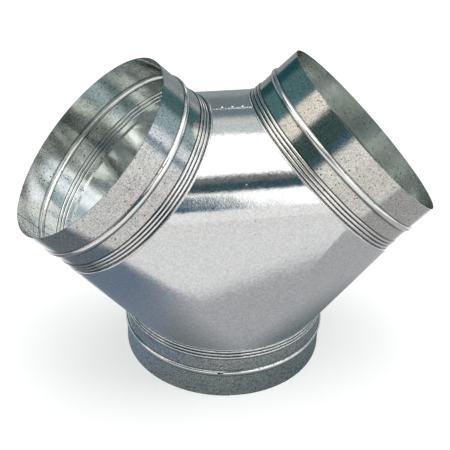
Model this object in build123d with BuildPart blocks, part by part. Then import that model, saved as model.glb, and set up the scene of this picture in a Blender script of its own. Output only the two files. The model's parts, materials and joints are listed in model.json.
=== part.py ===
from build123d import *
import os
from math import cos, degrees, radians, sin, sqrt

# Three-way wye coupler for round ventilation duct, made of galvanised sheet.
# Millimetres. The origin is the centre of the bottom rim, +Z is up, the front faces -Y.
os.makedirs("parts", exist_ok=True)

# Duct that slips over each collar, and the sheet that every piece is made of
duct_bore = 203.2
slip_clearance = 0.6
sheet = 0.7

# Layout of the three branches
branch_angle = 46.0  # between an upper branch and the vertical
crotch_length = 37.5  # straight top seam between the two upper openings
flank_rise = 60.5  # height gained by each lower seam

# Edge of the body around each opening, rolled into a round lip
lip_clearance = 0.05
lip_core = 1.6
lip_proud = 0.15

# Lapped seams of the body, and the weld spots on them
seam_lap = 4.0
seam_gap = 0.05
weld_diameter = 3.4
weld_height = 0.6
weld_sink = 0.3
weld_pitch = 9.7
crotch_welds = 3
crotch_weld_shift = 1.5
flank_welds = 6

# Collars, each a strip rolled to a ring
collar_length = 60.5
bead_offset = 29.5  # from the rim
bead_width = 6.0
bead_height = 1.9
bead_root = 0.9
ridge_count = 3
ridge_pitch = 3.75
ridge_width = 3.6
ridge_height = 1.1
valley_gap = 0.5
tail_length = 5.0
tail_flare = 0.6

# Lap of each strip, with a weld spot on each side of the bead, and the direction it faces
strip_lap = 20.0
lap_press = 0.25  # how far the two layers are pressed into each other
tuck_angle = 70.0
spot_diameter = 4.0
spot_height = 0.3
rim_spot_offset = 12.0  # from the bead
body_spot_offset = 6.0
left_lap_turn = -7.2
right_lap_turn = -2.7
bottom_lap_turn = 11.5

# Slot through the bottom collar's bead, at its lap
slot_width = 5.6
slot_height = 1.9
slot_offset = 0.8  # from the bead's crown towards the body

# Radii, from the collar outwards
collar_radius = duct_bore / 2 - slip_clearance
rear_radius = collar_radius + lip_clearance + 2 * sheet + lip_core
front_radius = rear_radius - sheet - seam_gap
rear_lip = (rear_radius + lip_proud - collar_radius - lip_clearance) / 2
front_lip = (front_radius + lip_proud - collar_radius - lip_clearance) / 2
lip_reach = rear_lip + lip_proud

# Where the axes meet, and the plane of each opening with its normal pointing out
tilt_sin = sin(radians(branch_angle))
tilt_cos = cos(radians(branch_angle))
side_reach = (crotch_length / 2 + rear_radius * tilt_cos) / tilt_sin
bottom_reach = flank_rise + rear_radius * tilt_sin - side_reach * tilt_cos
meeting = Vector(0, 0, bottom_reach + collar_length)
left_axis = Vector(-tilt_sin, 0, tilt_cos)
right_axis = Vector(tilt_sin, 0, tilt_cos)
bottom_axis = Vector(0, 0, -1)
left_up = Vector(tilt_cos, 0, tilt_sin)
right_up = Vector(-tilt_cos, 0, tilt_sin)
front = Vector(0, -1, 0)
left_opening = Plane(meeting + left_axis * side_reach, x_dir=left_up, z_dir=left_axis)
right_opening = Plane(meeting + right_axis * side_reach, x_dir=right_up, z_dir=right_axis)
bottom_opening = Plane(meeting + bottom_axis * bottom_reach, x_dir=(1, 0, 0), z_dir=bottom_axis)
openings = [left_opening, right_opening, bottom_opening]

# The lower seams run from the outer edge of each upper opening to the bottom opening
right_flank_top = right_opening.origin - right_up * rear_radius
right_flank_foot = bottom_opening.origin + Vector(rear_radius, 0, 0)
flank_line = right_flank_top - right_flank_foot
flank_sin = sin(radians(flank_line.get_angle(right_up)))
foot_sin = sin(radians(flank_line.get_angle(Vector(1, 0, 0))))


# Half of an opening's outline, from its rear point past the seam to its front point
def half_outline(centre, outward, reach, depth):
    plane = Plane(centre, x_dir=outward, z_dir=outward.cross(front))
    return Edge.make_ellipse(reach, depth, plane, -90, 90)


# Solid wye whose skin lies evenly inside the outer skin: flat in front and behind,
# with three flaps of straight lines between the openings
def wye_block(inset):
    depth = rear_radius - inset
    crotch_reach = rear_radius - inset / tilt_sin
    flank_reach = rear_radius - inset / flank_sin
    foot_reach = rear_radius - inset / foot_sin
    left, right, bottom = [opening.origin for opening in openings]
    left_top = half_outline(left, left_up, crotch_reach, depth)
    right_top = half_outline(right, right_up, crotch_reach, depth)
    left_low = half_outline(left, left_up * -1, flank_reach, depth)
    right_low = half_outline(right, right_up * -1, flank_reach, depth)
    left_foot = half_outline(bottom, Vector(-1, 0, 0), foot_reach, depth)
    right_foot = half_outline(bottom, Vector(1, 0, 0), foot_reach, depth)
    faces = [
        Face.make_surface_from_curves(left_top, right_top),
        Face.make_surface_from_curves(left_low, left_foot),
        Face.make_surface_from_curves(right_low, right_foot),
        Face(Wire([left_top, left_low])),
        Face(Wire([right_top, right_low])),
        Face(Wire([left_foot, right_foot])),
    ]
    for side in (front, front * -1):
        corners = [point + side * depth for point in (left, right, bottom)]
        faces.append(Face(Wire.make_polygon(corners, close=True)))
    return Solid(Shell(faces))


rear_outside = wye_block(0)
rear_inside = wye_block(sheet)
front_outside = wye_block(sheet + seam_gap)
front_inside = wye_block(2 * sheet + seam_gap)

# Planes that end the two halves, and the front half's lips
front_end = Plane.XZ.offset(-seam_lap / 2)
rear_end = Plane.XZ.offset(seam_lap / 2)
front_lip_end = Plane.XZ.offset(seam_lap / 2 + seam_gap)

# Room in the front half's flaps for the rear half's lips
with BuildPart() as lip_room:
    with Locations(*openings):
        Cylinder(rear_radius + 2 * lip_reach, 2 * lip_reach)
    split(bisect_by=front_lip_end, keep=Keep.BOTTOM)

# Rolled lips of the two halves
with BuildPart() as front_lips:
    with Locations(*openings):
        Torus(front_radius + lip_proud - front_lip, front_lip)
    split(bisect_by=front_lip_end, keep=Keep.TOP)

with BuildPart() as rear_lips:
    with Locations(*openings):
        Torus(rear_radius + lip_proud - rear_lip, rear_lip)
    split(bisect_by=rear_end, keep=Keep.BOTTOM)

# Weld spot on a seam of the body: a round cap whose edge lies inside the sheet
weld_edge = weld_diameter / 2
weld_rise = weld_height + weld_sink
weld_crown = (weld_edge**2 + weld_rise**2) / (2 * weld_rise)
weld_shoulder = weld_height - weld_crown + sqrt(weld_crown**2 - weld_edge**2 / 4)
with BuildPart() as weld:
    with BuildSketch(Plane.XZ):
        with BuildLine():
            Polyline((0, weld_height), (0, -weld_sink), (weld_edge, -weld_sink))
            ThreePointArc((weld_edge, -weld_sink), (weld_edge / 2, weld_shoulder), (0, weld_height))
        make_face()
    revolve(axis=Axis.Z)

# Where the weld spots sit: on the top seam, and spread over each lower seam
crotch_height = (right_opening.origin + right_up * rear_radius).Z
crotch_start = crotch_weld_shift - weld_pitch * (crotch_welds - 1) / 2
weld_planes = []
for index in range(crotch_welds):
    weld_planes.append(Plane((crotch_start + weld_pitch * index, 0, crotch_height), z_dir=(0, 0, 1)))
for index in range(flank_welds):
    step = (index + 1) / (flank_welds + 1)
    spot = right_flank_foot + flank_line * step
    mirrored = Vector(-spot.X, spot.Y, spot.Z)
    weld_planes.append(Plane(spot, z_dir=(flank_line.Z, 0, -flank_line.X)))
    weld_planes.append(Plane(mirrored, z_dir=(-flank_line.Z, 0, -flank_line.X)))

# Front half: its flaps pass under the rear half at the three seams
with BuildPart() as front_shell:
    add(front_outside)
    add(front_inside, mode=Mode.SUBTRACT)
    split(bisect_by=front_end, keep=Keep.TOP)
    add(lip_room.part, mode=Mode.SUBTRACT)
    add(front_lips.part)
front_shell.part.label = "front_shell"
export_step(front_shell.part, "parts/front_shell.step")

# Rear half: its flaps lie over the front half and carry the weld spots
with BuildPart() as rear_shell:
    add(rear_outside)
    add(rear_inside, mode=Mode.SUBTRACT)
    split(bisect_by=rear_end, keep=Keep.BOTTOM)
    add(rear_lips.part)
    for weld_plane in weld_planes:
        with Locations(weld_plane):
            add(weld.part, clean=False)
rear_shell.part.label = "rear_shell"
export_step(rear_shell.part, "parts/rear_shell.step")

# Strip section, drawn at the place where the tucked end starts
lap_half = degrees(strip_lap / 2 / collar_radius)
tuck_start = lap_half - tuck_angle
tuck_way = Vector(cos(radians(tuck_start)), sin(radians(tuck_start)), 0)
tuck_shift = (sheet - lap_press) / (1 - cos(radians(tuck_angle)))
strip_plane = Plane((0, 0, 0), x_dir=tuck_way, z_dir=tuck_way.cross(Vector(0, 0, 1)))
bead_height_at = collar_length - bead_offset
first_ridge = rear_lip + valley_gap + ridge_width / 2


# Half width of the groove that the sheet leaves inside a rolled bump
def groove_half(width, height):
    crown = (width * width / 4 + height * height) / (2 * height)
    rise = crown - height - sheet
    return sqrt((crown - sheet) ** 2 - rise * rise)


# Rolled strip in its own frame: opening plane at 0, rim up, middle of the lap towards +X
with BuildPart() as strip_ring:
    with BuildSketch(strip_plane) as strip:
        with BuildLine():
            outer = collar_radius
            inner = collar_radius - sheet
            bumps = [(bead_height_at, bead_width, bead_height)]
            for index in reversed(range(ridge_count)):
                bumps.append((first_ridge + ridge_pitch * index, ridge_width, ridge_height))
            outer_at = (outer, collar_length)
            inner_at = (inner, collar_length)
            Line(outer_at, inner_at)
            for middle, width, height in bumps:
                start = (outer, middle + width / 2)
                end = (outer, middle - width / 2)
                Line(outer_at, start)
                ThreePointArc(start, (outer + height, middle), end)
                outer_at = end
                half = groove_half(width, height)
                start = (inner, middle + half)
                end = (inner, middle - half)
                Line(inner_at, start)
                ThreePointArc(start, (inner + height, middle), end)
                inner_at = end
            Polyline(
                outer_at,
                (outer, -lip_reach),
                (outer + tail_flare, -tail_length),
                (inner + tail_flare, -tail_length),
                (inner, -lip_reach),
                inner_at,
            )
        make_face()
        bead_span = (bead_height_at - bead_width, bead_height_at + bead_width)
        roots = strip.vertices().filter_by_position(Axis.Y, *bead_span)
        fillet(roots, bead_root)
    section = strip.sketch.faces()
    revolve(axis=Axis((0, 0, 0), (0, 0, -1)), revolution_arc=360 + 2 * lap_half - tuck_angle)
    revolve(section, axis=Axis(tuck_way * tuck_shift, (0, 0, 1)), revolution_arc=tuck_angle)
    for height in (bead_height_at + rim_spot_offset, bead_height_at - body_spot_offset):
        with BuildSketch(Plane.YZ.offset(collar_radius - sheet / 2)):
            with Locations((0, height)):
                Circle(spot_diameter / 2)
        extrude(amount=sheet / 2 + spot_height)

# The three collars differ in where the lap faces
left_lap_way = (left_up * -1).rotate(Axis((0, 0, 0), left_axis), left_lap_turn)
right_lap_way = (right_up * -1).rotate(Axis((0, 0, 0), right_axis), right_lap_turn)
bottom_lap_way = front.rotate(Axis((0, 0, 0), bottom_axis), bottom_lap_turn)
left_seat = Plane(left_opening.origin, x_dir=left_lap_way, z_dir=left_axis)
right_seat = Plane(right_opening.origin, x_dir=right_lap_way, z_dir=right_axis)
bottom_seat = Plane(bottom_opening.origin, x_dir=bottom_lap_way, z_dir=bottom_axis)

with BuildPart() as left_collar:
    with Locations(left_seat):
        add(strip_ring.part)
left_collar.part.label = "left_collar"
export_step(left_collar.part, "parts/left_collar.step")

with BuildPart() as right_collar:
    with Locations(right_seat):
        add(strip_ring.part)
right_collar.part.label = "right_collar"
export_step(right_collar.part, "parts/right_collar.step")

with BuildPart() as slot:
    with BuildSketch(Plane.YZ.offset(collar_radius - 2 * sheet)):
        with Locations((0, bead_height_at - slot_offset)):
            Rectangle(slot_width, slot_height)
    extrude(amount=2 * sheet + 2 * bead_height)

with BuildPart() as bottom_collar:
    with Locations(bottom_seat):
        add(strip_ring.part)
        add(slot.part, mode=Mode.SUBTRACT)
bottom_collar.part.label = "bottom_collar"
export_step(bottom_collar.part, "parts/bottom_collar.step")
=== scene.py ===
import bpy
import json
import math
from mathutils import Matrix, Vector

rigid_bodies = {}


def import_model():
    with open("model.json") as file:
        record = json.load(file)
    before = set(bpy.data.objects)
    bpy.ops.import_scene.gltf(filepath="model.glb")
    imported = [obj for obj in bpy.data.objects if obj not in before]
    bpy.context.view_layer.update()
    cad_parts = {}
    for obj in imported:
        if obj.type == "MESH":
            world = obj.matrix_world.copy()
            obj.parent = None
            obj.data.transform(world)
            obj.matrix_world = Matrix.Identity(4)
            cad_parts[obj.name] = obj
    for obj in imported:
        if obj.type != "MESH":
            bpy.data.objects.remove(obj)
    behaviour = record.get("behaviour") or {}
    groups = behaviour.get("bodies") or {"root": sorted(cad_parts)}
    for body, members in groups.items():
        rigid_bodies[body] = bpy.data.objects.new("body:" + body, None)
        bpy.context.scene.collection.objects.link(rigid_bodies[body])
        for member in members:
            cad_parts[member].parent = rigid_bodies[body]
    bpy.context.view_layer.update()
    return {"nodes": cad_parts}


for startUp in list(bpy.data.objects):  # the start-up file's own objects
    bpy.data.objects.remove(startUp)
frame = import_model()
nodes = frame["nodes"]
scene = bpy.context.scene
print("frame loaded:", sorted(nodes))


# small helpers for node trees
def emptyTree(owner):
    owner.use_nodes = True
    owner.node_tree.nodes.clear()
    return owner.node_tree


def addNode(tree, kind, **settings):
    node = tree.nodes.new(kind)
    for name, value in settings.items():
        setattr(node, name, value)
    return node


def feed(tree, socket, source):
    if isinstance(source, bpy.types.NodeSocket):
        tree.links.new(source, socket)
    else:
        socket.default_value = source


def numberMath(tree, operation, first, second=0.0, third=0.0, clamp=False):
    node = addNode(tree, "ShaderNodeMath", operation=operation, use_clamp=clamp)
    for socket, source in zip(node.inputs, (first, second, third)):
        feed(tree, socket, source)
    return node.outputs[0]


def times(tree, first, second):
    return numberMath(tree, "MULTIPLY", first, second)


def minus(tree, first, second):
    return numberMath(tree, "SUBTRACT", first, second)


def vectorMath(tree, operation, first, second=(0.0, 0.0, 0.0), output="Vector"):
    node = addNode(tree, "ShaderNodeVectorMath", operation=operation)
    feed(tree, node.inputs[0], first)
    feed(tree, node.inputs[1], second)
    return node.outputs[output]


def along(tree, vector, axis):
    return vectorMath(tree, "DOT_PRODUCT", vector, axis, "Value")


def blendColour(tree, factor, first, second):
    node = addNode(tree, "ShaderNodeMix", data_type="RGBA")
    feed(tree, node.inputs[0], factor)
    feed(tree, node.inputs[6], first)  # the colour sockets
    feed(tree, node.inputs[7], second)
    return node.outputs[2]


def ramp(tree, value, low, high, outLow=0.0, outHigh=1.0):
    node = addNode(tree, "ShaderNodeMapRange", interpolation_type="SMOOTHSTEP")
    for socket, source in zip(node.inputs, (value, low, high, outLow, outHigh)):
        feed(tree, socket, source)
    return node.outputs[0]


def noise(tree, vector, scale, detail=0.0, roughness=0.5):
    node = addNode(tree, "ShaderNodeTexNoise")
    feed(tree, node.inputs["Vector"], vector)
    feed(tree, node.inputs["Scale"], scale)
    feed(tree, node.inputs["Detail"], detail)
    feed(tree, node.inputs["Roughness"], roughness)
    return node.outputs[0]


def cells(tree, vector, scale):
    node = addNode(tree, "ShaderNodeTexVoronoi")
    feed(tree, node.inputs["Vector"], vector)
    feed(tree, node.inputs["Scale"], scale)
    split = addNode(tree, "ShaderNodeSeparateColor")
    feed(tree, split.inputs[0], node.outputs["Color"])
    return node.outputs["Distance"], split.outputs


def splitPlace(tree, vector):
    split = addNode(tree, "ShaderNodeSeparateXYZ")
    feed(tree, split.inputs[0], vector)
    return split.outputs


def startGroup(name, inputs, outputs):
    group = bpy.data.node_groups.new(name, "ShaderNodeTree")
    for label, kind, value in inputs:
        socket = group.interface.new_socket(label, in_out="INPUT", socket_type=kind)
        if value is not None:
            socket.default_value = value
    for label, kind in outputs:
        group.interface.new_socket(label, in_out="OUTPUT", socket_type=kind)
    source = group.nodes.new("NodeGroupInput").outputs
    target = group.nodes.new("NodeGroupOutput").inputs
    return group, source, target


def place(tree, group, **values):
    node = addNode(tree, "ShaderNodeGroup", node_tree=group)
    for name, value in values.items():
        feed(tree, node.inputs[name], value)
    return node.outputs


number, direction = "NodeSocketFloat", "NodeSocketVector"

# zinc bloom: the small crystals of the coating, each a little lighter or darker
bloomForm = {
    "smallCells": 2.6,  # across a big one
    "bigShare": 0.7,
    "toneEnds": (0.15, 0.85),
    "cloudScale": 57.0,
    "cloudDetail": 3.0,
    "cloudRoughness": 0.6,
    "patchEnds": (0.36, 0.64),
}
bloomGroup, given, result = startGroup(
    "zincBloom",
    [("Place", direction, None), ("Crystal", number, 0.003)],
    [("Tone", number), ("Patch", number)],
)
perMetre = numberMath(bloomGroup, "DIVIDE", 1.0, given["Crystal"])
bigCells = cells(bloomGroup, given["Place"], perMetre)[1]
smallCells = cells(bloomGroup, given["Place"], times(bloomGroup, perMetre, bloomForm["smallCells"]))[1]
smallTone = times(bloomGroup, smallCells[1], 1.0 - bloomForm["bigShare"])
tone = numberMath(bloomGroup, "MULTIPLY_ADD", bigCells[0], bloomForm["bigShare"], smallTone)
cloud = noise(
    bloomGroup,
    given["Place"],
    bloomForm["cloudScale"],
    bloomForm["cloudDetail"],
    bloomForm["cloudRoughness"],
)
feed(bloomGroup, result["Tone"], ramp(bloomGroup, tone, *bloomForm["toneEnds"]))
feed(bloomGroup, result["Patch"], ramp(bloomGroup, cloud, *bloomForm["patchEnds"]))

# pin specks: small dark pits and dross spots, scattered
speckForm = {"smallest": 0.35, "spread": 1.1, "core": 0.45}  # shares of a speck's size
speckGroup, given, result = startGroup(
    "pinSpecks",
    [("Place", direction, None), ("Spacing", number, 0.008), ("Size", number, 0.1), ("Share", number, 0.4)],
    [("Mask", number)],
)
perMetre = numberMath(speckGroup, "DIVIDE", 1.0, given["Spacing"])
distance, chance = cells(speckGroup, given["Place"], perMetre)
kept = numberMath(speckGroup, "LESS_THAN", chance[0], given["Share"])
share = numberMath(speckGroup, "MULTIPLY_ADD", chance[1], speckForm["spread"], speckForm["smallest"])
reach = times(speckGroup, given["Size"], share)
speck = ramp(speckGroup, distance, times(speckGroup, reach, speckForm["core"]), reach, 1.0, 0.0)
feed(speckGroup, result["Mask"], times(speckGroup, kept, speck))

# skin grain: the fine uneven skin that breaks up every reflection's edge
peelScale = 0.3
grainGroup, given, result = startGroup(
    "skinGrain",
    [("Place", direction, None), ("Grain", number, 0.0012)],
    [("Height", number)],
)
perMetre = numberMath(grainGroup, "DIVIDE", 1.0, given["Grain"])
fine = noise(grainGroup, given["Place"], perMetre)
peel = noise(grainGroup, given["Place"], times(grainGroup, perMetre, peelScale))
feed(grainGroup, result["Height"], numberMath(grainGroup, "ADD", fine, peel))

# sheet waves: shallow buckles left by rolling and folding
shortWaves = {"scale": 2.7, "share": 0.3}
waveGroup, given, result = startGroup(
    "sheetWaves",
    [("Place", direction, None), ("Length", number, 0.05)],
    [("Height", number)],
)
perMetre = numberMath(waveGroup, "DIVIDE", 1.0, given["Length"])
longWave = noise(waveGroup, given["Place"], perMetre)
shortWave = noise(waveGroup, given["Place"], times(waveGroup, perMetre, shortWaves["scale"]))
bothWaves = numberMath(waveGroup, "MULTIPLY_ADD", shortWave, shortWaves["share"], longWave)
feed(waveGroup, result["Height"], bothWaves)

# unroll: arc, radius and height around a collar's own axis, cut open at its lap
collarRadius = 0.101
unrollGroup, given, result = startGroup(
    "collarUnroll",
    [
        ("Place", direction, None),
        ("Facing", direction, None),
        ("Centre", direction, (0.0, 0.0, 0.0)),
        ("Axis", direction, (0.0, 0.0, 1.0)),
        ("Lap", direction, (1.0, 0.0, 0.0)),
    ],
    [("Unrolled", direction), ("Outward", number)],
)
away = vectorMath(unrollGroup, "SUBTRACT", given["Place"], given["Centre"])
across = vectorMath(unrollGroup, "CROSS_PRODUCT", given["Axis"], given["Lap"])
height = along(unrollGroup, away, given["Axis"])
ahead = along(unrollGroup, away, given["Lap"])
sideways = along(unrollGroup, away, across)
turn = numberMath(unrollGroup, "ARCTAN2", sideways, times(unrollGroup, ahead, -1.0))
arc = times(unrollGroup, turn, collarRadius)
squares = numberMath(unrollGroup, "MULTIPLY_ADD", sideways, sideways, times(unrollGroup, ahead, ahead))
radius = numberMath(unrollGroup, "SQRT", squares)
rolled = addNode(unrollGroup, "ShaderNodeCombineXYZ")
for socket, source in zip(rolled.inputs, (arc, radius, height)):
    feed(unrollGroup, socket, source)
feed(unrollGroup, result["Unrolled"], rolled.outputs[0])
facingAhead = along(unrollGroup, given["Facing"], given["Lap"])
facingSideways = times(unrollGroup, along(unrollGroup, given["Facing"], across), sideways)
facingOut = numberMath(unrollGroup, "MULTIPLY_ADD", facingAhead, ahead, facingSideways)
feed(unrollGroup, result["Outward"], numberMath(unrollGroup, "GREATER_THAN", facingOut, 0.0))

# painted groove shade and highlights: painted shade in dark lines between the ridges and at the foot of the
# bead, painted highlights on the crowns between them;
# places are along a collar from its joint, and ends are where a line starts and where it is full
grooveForm = {
    "ridgeStart": 0.002,
    "ridgeEnd": 0.01325,
    "ridgePitch": 0.00375,
    "ridgeMargin": (0.0009, 0.0005),
    "outerLine": (0.0008, 0.0004),  # from the nearest valley
    "innerLine": (0.0012, 0.0016),
    "innerDepth": 0.85,
    "outerCrown": (0.0009, 0.0014),
    "innerCrown": (0.0011, 0.0006),
    "beadMiddle": 0.031,
    "beadCrown": (0.0022, 0.0014),  # from the bead's middle
    "footNear": (0.0024, 0.003),
    "footFar": (0.0046, 0.0034),
    "footDepth": 0.75,
}
grooveGroup, given, result = startGroup(
    "grooveShadeAndHighlight",
    [("Unrolled", direction, None), ("Outward", number, 1.0), ("Joint", number, 0.1)],
    [("Mask", number), ("Crown", number)],
)
fromJoint = minus(grooveGroup, splitPlace(grooveGroup, given["Unrolled"])[2], given["Joint"])
inward = minus(grooveGroup, 1.0, given["Outward"])
startEnds = [grooveForm["ridgeStart"] - margin for margin in grooveForm["ridgeMargin"]]
finishEnds = [grooveForm["ridgeEnd"] + margin for margin in grooveForm["ridgeMargin"]]
pastStart = ramp(grooveGroup, fromJoint, *startEnds)
inRidges = times(grooveGroup, pastStart, ramp(grooveGroup, fromJoint, *finishEnds))
fromStart = minus(grooveGroup, fromJoint, grooveForm["ridgeStart"])
fromValley = numberMath(grooveGroup, "PINGPONG", fromStart, grooveForm["ridgePitch"] / 2)
fromBead = numberMath(grooveGroup, "ABSOLUTE", minus(grooveGroup, fromJoint, grooveForm["beadMiddle"]))
outerLine = times(grooveGroup, ramp(grooveGroup, fromValley, *grooveForm["outerLine"]), given["Outward"])
innerLine = times(grooveGroup, ramp(grooveGroup, fromValley, *grooveForm["innerLine"]), inward)
line = numberMath(grooveGroup, "MULTIPLY_ADD", innerLine, grooveForm["innerDepth"], outerLine)
pastFoot = ramp(grooveGroup, fromBead, *grooveForm["footNear"])
foot = times(grooveGroup, pastFoot, ramp(grooveGroup, fromBead, *grooveForm["footFar"]))
foot = times(grooveGroup, foot, grooveForm["footDepth"])
# painted shade: the dark lines in the grooves and at the bead's foot
paintedGrooveShade = numberMath(grooveGroup, "MAXIMUM", times(grooveGroup, inRidges, line), foot)
feed(grooveGroup, result["Mask"], paintedGrooveShade)
# painted highlights on the ridge crowns and the bead's crown
outerCrown = times(grooveGroup, ramp(grooveGroup, fromValley, *grooveForm["outerCrown"]), given["Outward"])
innerCrown = times(grooveGroup, ramp(grooveGroup, fromValley, *grooveForm["innerCrown"]), inward)
crown = times(grooveGroup, numberMath(grooveGroup, "ADD", outerCrown, innerCrown), inRidges)
beadCrown = ramp(grooveGroup, fromBead, *grooveForm["beadCrown"])
feed(grooveGroup, result["Crown"], numberMath(grooveGroup, "MAXIMUM", crown, beadCrown))
print("groups ready:", [group.name for group in bpy.data.node_groups])


def startSheet(name):
    sheet = bpy.data.materials.new(name)
    tree = emptyTree(sheet)
    shader = addNode(tree, "ShaderNodeBsdfPrincipled")
    shader.inputs["Metallic"].default_value = 1.0
    output = addNode(tree, "ShaderNodeOutputMaterial")
    feed(tree, output.inputs[0], shader.outputs[0])
    at = addNode(tree, "ShaderNodeTexCoord").outputs["Object"]
    facing = addNode(tree, "ShaderNodeNewGeometry").outputs["Normal"]
    return sheet, tree, shader, at, facing


def scatter(tree, at, spacing, size, share):
    return place(tree, speckGroup, Place=at, Spacing=spacing, Size=size, Share=share)["Mask"]


# the coated sheet itself, with the values of the piece that it covers
def coatSheet(tree, shader, at, waveAt, look, outward, groove=None):
    bloom = place(tree, bloomGroup, Place=at, Crystal=look["crystal"])
    specks = scatter(tree, at, look["speckSpacing"], look["speckSize"], look["speckShare"])
    mist = scatter(tree, at, look["mistSpacing"], look["mistSize"], look["mistShare"])
    # the inside's lighter colours are painted light
    inside = blendColour(tree, bloom["Tone"], look["darkInside"], look["lightInside"])
    stain = times(tree, bloom["Patch"], look["insideWarmth"])
    inside = blendColour(tree, stain, inside, look["warmInside"])
    outside = blendColour(tree, bloom["Tone"], look["darkZinc"], look["lightZinc"])
    warm = times(tree, bloom["Patch"], look["warmth"])
    outside = blendColour(tree, warm, outside, look["warmZinc"])
    colour = blendColour(tree, outward, inside, outside)
    layers = [(mist, look["mistDepth"], look["speckTone"]), (specks, look["speckDepth"], look["speckTone"])]
    # the grooves take painted shade and the ridge crowns painted highlights
    if groove is not None:
        layers.append((groove["Crown"], look["crownHighlightDepth"], look["crownHighlightTone"]))
        layers.append((groove["Mask"], look["grooveShadeDepth"], look["grooveShadeTone"]))
    for mask, depth, tone in layers:
        colour = blendColour(tree, times(tree, mask, depth), colour, tone)
    feed(tree, shader.inputs["Base Color"], colour)
    inward = minus(tree, 1.0, outward)
    dull = numberMath(tree, "MULTIPLY_ADD", bloom["Tone"], look["toneDull"], look["gloss"])
    dull = numberMath(tree, "MULTIPLY_ADD", bloom["Patch"], look["patchDull"], dull)
    dull = numberMath(tree, "MULTIPLY_ADD", inward, look["insideDull"], dull)
    dull = numberMath(tree, "MULTIPLY_ADD", specks, look["speckDull"], dull, clamp=True)
    feed(tree, shader.inputs["Roughness"], dull)
    waves = place(tree, waveGroup, Place=waveAt, Length=look["waveLength"])["Height"]
    buckle = addNode(tree, "ShaderNodeBump")
    feed(tree, buckle.inputs["Distance"], look["waveHeight"])
    feed(tree, buckle.inputs["Height"], times(tree, waves, outward))  # the inside is smoother
    grain = place(tree, grainGroup, Place=at, Grain=look["grain"])["Height"]
    grainShare = numberMath(tree, "MULTIPLY_ADD", outward, 1.0 - look["insideGrain"], look["insideGrain"])
    skin = addNode(tree, "ShaderNodeBump")
    feed(tree, skin.inputs["Distance"], look["grainHeight"])
    feed(tree, skin.inputs["Height"], times(tree, grain, grainShare))
    feed(tree, skin.inputs["Normal"], buckle.outputs[0])
    feed(tree, shader.inputs["Normal"], skin.outputs[0])


meetingPoint = (0.0, 0.0, 0.10794)  # where the three airways' axes meet

# body halves: clean drawn sheet, few specks
bodyLook = {
    "lightZinc": (0.86, 0.865, 0.868, 1.0),
    "darkZinc": (0.685, 0.69, 0.698, 1.0),
    # the inside is lighter than the outside: painted light for the dimmer inside
    "lightInside": (0.91, 0.925, 0.92, 1.0),
    "darkInside": (0.79, 0.81, 0.80, 1.0),
    "warmZinc": (0.82, 0.815, 0.79, 1.0),
    "warmth": 0.2,
    "warmInside": (0.90, 0.84, 0.66, 1.0),
    "insideWarmth": 0.1,
    "crystal": 0.0014,
    "gloss": 0.08,
    "toneDull": 0.03,
    "patchDull": 0.02,
    "insideDull": 0.01,
    "speckDull": 0.3,
    "speckTone": (0.10, 0.11, 0.12, 1.0),
    "speckSpacing": 0.006,
    "speckSize": 0.14,
    "speckShare": 0.1,
    "speckDepth": 0.3,
    "mistSpacing": 0.0024,
    "mistSize": 0.26,
    "mistShare": 0.15,
    "mistDepth": 0.18,
    "grain": 0.0012,
    "grainHeight": 0.000016,
    "insideGrain": 0.3,
    "waveLength": 0.07,
    "waveHeight": 0.00025,
}
bodySheet, tree, shader, at, facing = startSheet("bodySheet")
fromMiddle = vectorMath(tree, "SUBTRACT", at, meetingPoint)
outward = numberMath(tree, "GREATER_THAN", along(tree, facing, fromMiddle), 0.0)
coatSheet(tree, shader, at, at, bodyLook, outward)
for name in ("front_shell", "rear_shell"):
    nodes[name].data.materials[0] = bodySheet
print("body sheet done")

# collars: rolled strip with more dark pits, its buckles drawn out along the roll
collarLook = dict(
    bodyLook,
    warmZinc=(0.82, 0.81, 0.76, 1.0),
    warmth=0.15,
    insideWarmth=0.24,
    crystal=0.00095,
    gloss=0.09,
    speckSpacing=0.003,
    speckSize=0.28,
    speckShare=0.5,
    speckDepth=0.92,
    mistSpacing=0.0017,
    mistSize=0.3,
    mistShare=0.3,
    mistDepth=0.45,
    waveHeight=0.00015,
    waveLength=0.045,
    waveStretch=(0.7, 1.0, 1.3),
    # painted highlight on the ridge and bead crowns
    crownHighlightTone=(0.95, 0.95, 0.94, 1.0),
    crownHighlightDepth=0.8,
    # painted shade in the grooves between the ridges
    grooveShadeTone=(0.03, 0.034, 0.036, 1.0),
    grooveShadeDepth=0.94,
)
branchLean = math.radians(46.0)
leanX, leanZ = math.sin(branchLean), math.cos(branchLean)
# each collar's inside colours are lighter and tinted teal: painted light and a painted teal reflection
collarPlaces = {
    "left_collar": {
        "axis": (-leanX, 0.0, leanZ),
        "lap": (-leanZ, 0.125, -leanX),
        "joint": 0.12655,
        "lightZinc": (0.79, 0.785, 0.775, 1.0),
        "darkZinc": (0.42, 0.42, 0.415, 1.0),
        "lightInside": (1.0, 1.0, 1.0, 1.0),
        "darkInside": (0.63, 0.66, 0.65, 1.0),
        "insideDull": 0.04,
    },
    "right_collar": {
        "axis": (leanX, 0.0, leanZ),
        "lap": (leanZ, 0.047, -leanX),
        "joint": 0.12655,
        "lightZinc": (0.83, 0.81, 0.765, 1.0),
        "darkZinc": (0.48, 0.468, 0.44, 1.0),
        "lightInside": (0.98, 1.0, 0.99, 1.0),
        "darkInside": (0.65, 0.76, 0.74, 1.0),
        "insideDull": 0.08,
    },
    "bottom_collar": {
        "axis": (0.0, 0.0, -1.0),
        "lap": (-0.2, -0.98, 0.0),
        "joint": 0.04744,
        "lightZinc": (0.98, 0.985, 0.97, 1.0),
        "darkZinc": (0.40, 0.415, 0.41, 1.0),
        "lightInside": (0.95, 1.0, 0.99, 1.0),
        "darkInside": (0.51, 0.59, 0.58, 1.0),
    },
}
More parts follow.
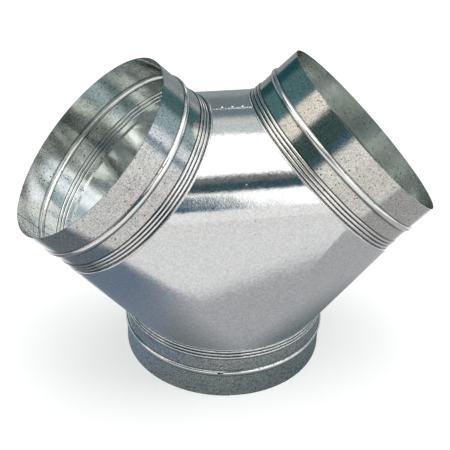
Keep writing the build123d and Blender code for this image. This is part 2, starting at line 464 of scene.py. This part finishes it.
for name, ownLook in collarPlaces.items():
    look = dict(collarLook, **ownLook)
    collarSheet, tree, shader, at, facing = startSheet(name + "Sheet")
    strip = place(
        tree,
        unrollGroup,
        Place=at,
        Facing=facing,
        Centre=meetingPoint,
        Axis=look["axis"],
        Lap=look["lap"],
    )
    unrolled, outward = strip["Unrolled"], strip["Outward"]
    groove = place(tree, grooveGroup, Unrolled=unrolled, Outward=outward, Joint=look["joint"])
    drawnOut = vectorMath(tree, "MULTIPLY", unrolled, look["waveStretch"])
    coatSheet(tree, shader, at, drawnOut, look, outward, groove=groove)
    nodes[name].data.materials[0] = collarSheet
print("collar sheets done")

# panel: a soft-edged patch of the room, by azimuth and elevation in degrees
panelGroup, given, result = startGroup(
    "roomPanel",
    [
        ("Azimuth", number, 0.0),
        ("Elevation", number, 0.0),
        ("Middle", number, 0.0),
        ("Half Width", number, 20.0),
        ("Height", number, 20.0),
        ("Half Height", number, 20.0),
        ("Soft", number, 3.0),
    ],
    [("Mask", number)],
)
turned = minus(panelGroup, given["Azimuth"], given["Middle"])
aside = numberMath(panelGroup, "ABSOLUTE", numberMath(panelGroup, "WRAP", turned, 180.0, -180.0))
above = numberMath(panelGroup, "ABSOLUTE", minus(panelGroup, given["Elevation"], given["Height"]))
edges = []
for offset, reach in ((aside, given["Half Width"]), (above, given["Half Height"])):
    near = minus(panelGroup, reach, given["Soft"])
    far = numberMath(panelGroup, "ADD", reach, given["Soft"])
    edges.append(ramp(panelGroup, offset, near, far, 1.0, 0.0))
feed(panelGroup, result["Mask"], times(panelGroup, *edges))

# floor, pale and matt: white to the camera, with the object's shadow on it
floorLook = {
    "size": 24.0,
    "paint": (0.82, 0.82, 0.81, 1.0),
    "lift": 0.42,
    "liftEnds": (0.09, 0.099),
    # painted shade: a dark spot on the floor inside the bottom collar, seen through its slot
    "slotShade": (0.03, 0.032, 0.035, 1.0),  # what shows through the bottom collar's slot
    "slotAt": (-0.012, -0.058, 0.0),
    "slotEnds": (0.028, 0.018),
}
# the same floor in the metal, an emission: painted light where it is lit from behind and far to the right,
# and the object's painted shadow in grey, blue and darker close to the base; ends are where a tone starts
# and where it is full
mirroredFloor = {
    "lit": (0.83, 0.83, 0.83, 1.0),
    "far": (0.83, 0.82, 0.81, 1.0),
    "farEnds": (-0.36, -0.75),
    "linePoint": (0.012, -0.278, 0.0),  # the slanting edge of the grey
    "lineAcross": (0.371, 0.928, 0.0),
    "grey": (0.45, 0.455, 0.47, 1.0),
    "greyEnds": (-0.016, 0.016),
    "blue": (0.158, 0.208, 0.275, 1.0),
    "blueEnds": (-0.02, -0.17),
    "blueLineEnds": (-0.015, 0.03),
    "blueFar": (0.18, 0.207, 0.23, 1.0),
    "blueFarEnds": (-0.18, -0.21),
    "base": (0.175, 0.203, 0.208, 1.0),
    "baseEnds": (0.222, 0.095),
    "baseLeft": (0.185, 0.23, 0.285, 1.0),
    "baseLeftEnds": (-0.08, -0.115),
    "baseRight": (0.13, 0.168, 0.175, 1.0),
    "baseRightEnds": (-0.02, 0.08),
    "rightFar": (1.2, 1.22, 1.25, 1.0),
    "rightFarEnds": (0.6, 0.9),
    "rightTurnEnds": (0.8, 1.0),
    "behind": (1.1, 1.1, 1.1, 1.0),
    "behindEnds": (0.02, 0.12),
    "farBehind": (0.30, 0.34, 0.35, 1.0),
    "farBehindEnds": (0.32, 0.5),
}
floorMesh = bpy.data.meshes.new("floor")
half = floorLook["size"] / 2
corners = [(-half, -half, 0), (half, -half, 0), (half, half, 0), (-half, half, 0)]
floorMesh.from_pydata(corners, [], [(0, 1, 2, 3)])
floor = bpy.data.objects.new("floor", floorMesh)
scene.collection.objects.link(floor)
floorPaint = bpy.data.materials.new("floorPaint")
tree = emptyTree(floorPaint)
at = addNode(tree, "ShaderNodeTexCoord").outputs["Object"]
sideways, backward = splitPlace(tree, at)[:2]
fromBase = vectorMath(tree, "LENGTH", at, output="Value")
fromLine = vectorMath(tree, "SUBTRACT", at, mirroredFloor["linePoint"])
pastLine = along(tree, fromLine, mirroredFloor["lineAcross"])


def floorMask(tree, value, ends):
    return ramp(tree, value, *mirroredFloor[ends])


leftOfMiddle = floorMask(tree, sideways, "blueEnds")
inBlue = times(tree, leftOfMiddle, floorMask(tree, pastLine, "blueLineEnds"))
blueFar = floorMask(tree, sideways, "blueFarEnds")
blue = blendColour(tree, blueFar, mirroredFloor["blue"], mirroredFloor["blueFar"])
baseLeft = floorMask(tree, sideways, "baseLeftEnds")
base = blendColour(tree, baseLeft, mirroredFloor["base"], mirroredFloor["baseLeft"])
base = blendColour(tree, floorMask(tree, sideways, "baseRightEnds"), base, mirroredFloor["baseRight"])
turnedRight = numberMath(tree, "ARCTAN2", sideways, times(tree, backward, -1.0))
farOut = floorMask(tree, fromBase, "rightFarEnds")
inRight = times(tree, floorMask(tree, turnedRight, "rightTurnEnds"), farOut)
# the floor's painted light and painted shadow, laid one over another
shade = mirroredFloor["lit"]
for mask, tone in (
    (floorMask(tree, backward, "farEnds"), mirroredFloor["far"]),
    (floorMask(tree, pastLine, "greyEnds"), mirroredFloor["grey"]),
    (inBlue, blue),
    (floorMask(tree, fromBase, "baseEnds"), base),
    (inRight, mirroredFloor["rightFar"]),
    (floorMask(tree, backward, "behindEnds"), mirroredFloor["behind"]),
    (floorMask(tree, backward, "farBehindEnds"), mirroredFloor["farBehind"]),
):
    shade = blendColour(tree, mask, shade, tone)
inMetal = addNode(tree, "ShaderNodeEmission")
feed(tree, inMetal.inputs["Color"], shade)
# painted shade on the floor inside the bottom collar
fromSlot = vectorMath(tree, "SUBTRACT", at, floorLook["slotAt"])
slotDistance = vectorMath(tree, "LENGTH", fromSlot, output="Value")
inSlotShade = ramp(tree, slotDistance, *floorLook["slotEnds"])
matt = addNode(tree, "ShaderNodeBsdfDiffuse")
feed(tree, matt.inputs["Color"], blendColour(tree, inSlotShade, floorLook["paint"], floorLook["slotShade"]))
path = addNode(tree, "ShaderNodeLightPath").outputs
lift = times(tree, ramp(tree, fromBase, *floorLook["liftEnds"]), floorLook["lift"])
glow = addNode(tree, "ShaderNodeEmission")
feed(tree, glow.inputs["Strength"], times(tree, path["Is Camera Ray"], lift))
plain = addNode(tree, "ShaderNodeAddShader")
feed(tree, plain.inputs[0], matt.outputs[0])
feed(tree, plain.inputs[1], glow.outputs[0])
either = addNode(tree, "ShaderNodeMixShader")
mirrored = numberMath(tree, "MAXIMUM", path["Is Glossy Ray"], path["Is Transmission Ray"])
feed(tree, either.inputs[0], mirrored)
feed(tree, either.inputs[1], plain.outputs[0])
feed(tree, either.inputs[2], inMetal.outputs[0])
oneSided = addNode(tree, "ShaderNodeMixShader")  # clear from below
feed(tree, oneSided.inputs[0], addNode(tree, "ShaderNodeNewGeometry").outputs["Backfacing"])
feed(tree, oneSided.inputs[1], either.outputs[0])
feed(tree, oneSided.inputs[2], addNode(tree, "ShaderNodeBsdfTransparent").outputs[0])
output = addNode(tree, "ShaderNodeOutputMaterial")
feed(tree, output.inputs[0], oneSided.outputs[0])
floorMesh.materials.append(floorPaint)
print("floor done")

# soft boxes, which light the floor
aim = Vector((0.0, 0.0, 0.16))
lampLook = {
    "topBox": {"at": (0.1, 0.2, 1.9), "size": (2.1, 1.5), "power": 15.0},
    "rightBox": {"at": (1.7, -0.9, 0.9), "size": (0.9, 0.7), "power": 2.4},
}
for name, look in lampLook.items():
    lamp = bpy.data.lights.new(name, "AREA")
    lamp.shape = "RECTANGLE"
    lamp.size, lamp.size_y = look["size"]
    lamp.energy = look["power"]
    box = bpy.data.objects.new(name, lamp)
    scene.collection.objects.link(box)
    box.location = look["at"]
    box.rotation_mode = "QUATERNION"
    box.rotation_quaternion = (Vector(look["at"]) - aim).to_track_quat("Z", "Y")
    box.visible_glossy = False

# white room: white to the camera, a softer grey as light, and in the metal a white tent
# with soft boxes and the dark gaps between them
roomLook = {
    "ambient": (0.62, 0.63, 0.64, 1.0),
    "white": (1.0, 1.0, 1.0, 1.0),
    "tent": (0.84, 0.83, 0.80, 1.0),
}
# azimuth and elevation of each panel's middle, then half its width and height, in degrees;
# azimuth 0 is in front and 90 to the right, and a later panel covers an earlier one
panelLook = {
    "backLow": {"at": (172, -20), "half": (34, 34), "soft": 7, "tone": (0.3, 0.34, 0.355)},
    "backMid": {"at": (172, 26), "half": (36, 18), "soft": 6, "tone": (0.18, 0.225, 0.24)},
    "backUpper": {"at": (172, 56), "half": (40, 10), "soft": 7, "tone": (0.62, 0.65, 0.65)},
    "backSlit": {"at": (155, 17), "half": (6, 8), "soft": 2, "tone": (1.2, 1.2, 1.16)},
    "backLeft": {"at": (-140, 12), "half": (34, 34), "soft": 6, "tone": (0.092, 0.2, 0.22)},
    "backLeftLow": {"at": (-163, 4), "half": (12, 16), "soft": 6, "tone": (0.018, 0.083, 0.097)},
    "leftBox": {"at": (-90, 38), "half": (15, 24), "soft": 4, "tone": (1.01, 0.97, 0.89)},
    "leftGap": {"at": (-53, 27), "half": (20, 17), "soft": 4, "tone": (0.05, 0.097, 0.097)},
    "rightBox": {"at": (70, 10), "half": (15, 24), "soft": 4, "tone": (0.98, 1.04, 1.08)},
    "rightBlue": {"at": (66, 16.5), "half": (4.5, 4.5), "soft": 1.5, "tone": (0.26, 0.36, 0.43)},
    "right": {"at": (97, 16), "half": (14, 26), "soft": 6, "tone": (0.37, 0.5, 0.53)},
    "backRight": {"at": (122, 16), "half": (14, 26), "soft": 6, "tone": (0.085, 0.175, 0.185)},
    "frontLow": {"at": (15, 8), "half": (45, 14), "soft": 6, "tone": (0.93, 0.93, 0.92)},
    "frontBright": {"at": (37, 31), "half": (26, 13), "soft": 2.5, "tone": (1.4, 1.4, 1.38)},
    "frontBlue": {"at": (-14.4, 34.5), "half": (25, 6.5), "soft": 1.6, "tone": (0.065, 0.13, 0.185)},
    "frontBlueLow": {"at": (-14, 23), "half": (25, 5.5), "soft": 2.4, "tone": (0.065, 0.13, 0.185)},
    "leftUpper": {"at": (-112, 56), "half": (50, 10), "soft": 4, "tone": (1.3, 1.3, 1.28)},
    "rightUpper": {"at": (88, 56), "half": (46, 11), "soft": 4, "tone": (1.3, 1.3, 1.28)},
    "overhead": {"at": (0, 90), "half": (200, 27), "soft": 4, "tone": (1.85, 1.85, 1.83)},
    "frontDusk": {"at": (14, 58), "half": (19, 9.5), "soft": 4.2, "tone": (0.15, 0.165, 0.155)},
    "frontGap": {"at": (14, 51.6), "half": (19, 6), "soft": 2, "tone": (0.035, 0.082, 0.095)},
}
room = bpy.data.worlds.new("room")
scene.world = room
tree = emptyTree(room)
east, north, rise = splitPlace(tree, addNode(tree, "ShaderNodeTexCoord").outputs["Generated"])
azimuth = numberMath(tree, "ARCTAN2", east, times(tree, north, -1.0))
azimuth = numberMath(tree, "DEGREES", azimuth)
elevation = numberMath(tree, "DEGREES", numberMath(tree, "ARCSINE", rise))
tent = roomLook["tent"]
for look in panelLook.values():
    sizes = {"Middle": look["at"][0], "Half Width": look["half"][0]}
    sizes.update({"Height": look["at"][1], "Half Height": look["half"][1], "Soft": look["soft"]})
    panel = place(tree, panelGroup, Azimuth=azimuth, Elevation=elevation, **sizes)
    tent = blendColour(tree, panel["Mask"], tent, (*look["tone"], 1.0))
path = addNode(tree, "ShaderNodeLightPath").outputs
mirrored = numberMath(tree, "MAXIMUM", path["Is Glossy Ray"], path["Is Transmission Ray"])
light = blendColour(tree, mirrored, roomLook["ambient"], tent)
sky = addNode(tree, "ShaderNodeBackground")
feed(tree, sky.inputs["Color"], blendColour(tree, path["Is Camera Ray"], light, roomLook["white"]))
output = addNode(tree, "ShaderNodeOutputWorld")
feed(tree, output.inputs[0], sky.outputs[0])
print("room and lights done")

# camera at the photograph's viewing angle, for a square picture
cameraLook = {
    "azimuth": -11.124,
    "elevation": 34.033,
    "roll": 2.099,
    "away": 1.1105,
    "right": 0.0005,
    "up": -0.0241,
    "lens": 87.28,
    "sensor": 36.0,
}
turn, rise, lean = [math.radians(cameraLook[key]) for key in ("azimuth", "elevation", "roll")]
backward = Vector((math.sin(turn) * math.cos(rise), -math.cos(turn) * math.cos(rise), math.sin(rise)))
level = Vector((math.cos(turn), math.sin(turn), 0.0))
upright = backward.cross(level)
right = level * math.cos(lean) + upright * math.sin(lean)
up = upright * math.cos(lean) - level * math.sin(lean)
lens = bpy.data.cameras.new("camera")
lens.sensor_width = cameraLook["sensor"]
lens.lens = cameraLook["lens"]
camera = bpy.data.objects.new("camera", lens)
scene.collection.objects.link(camera)
stand = Vector(meetingPoint) + backward * cameraLook["away"]
stand = stand - right * cameraLook["right"] - up * cameraLook["up"]
camera.matrix_world = Matrix.Translation(stand) @ Matrix((right, up, backward)).transposed().to_4x4()
scene.camera = camera
scene.view_settings.view_transform = "Standard"
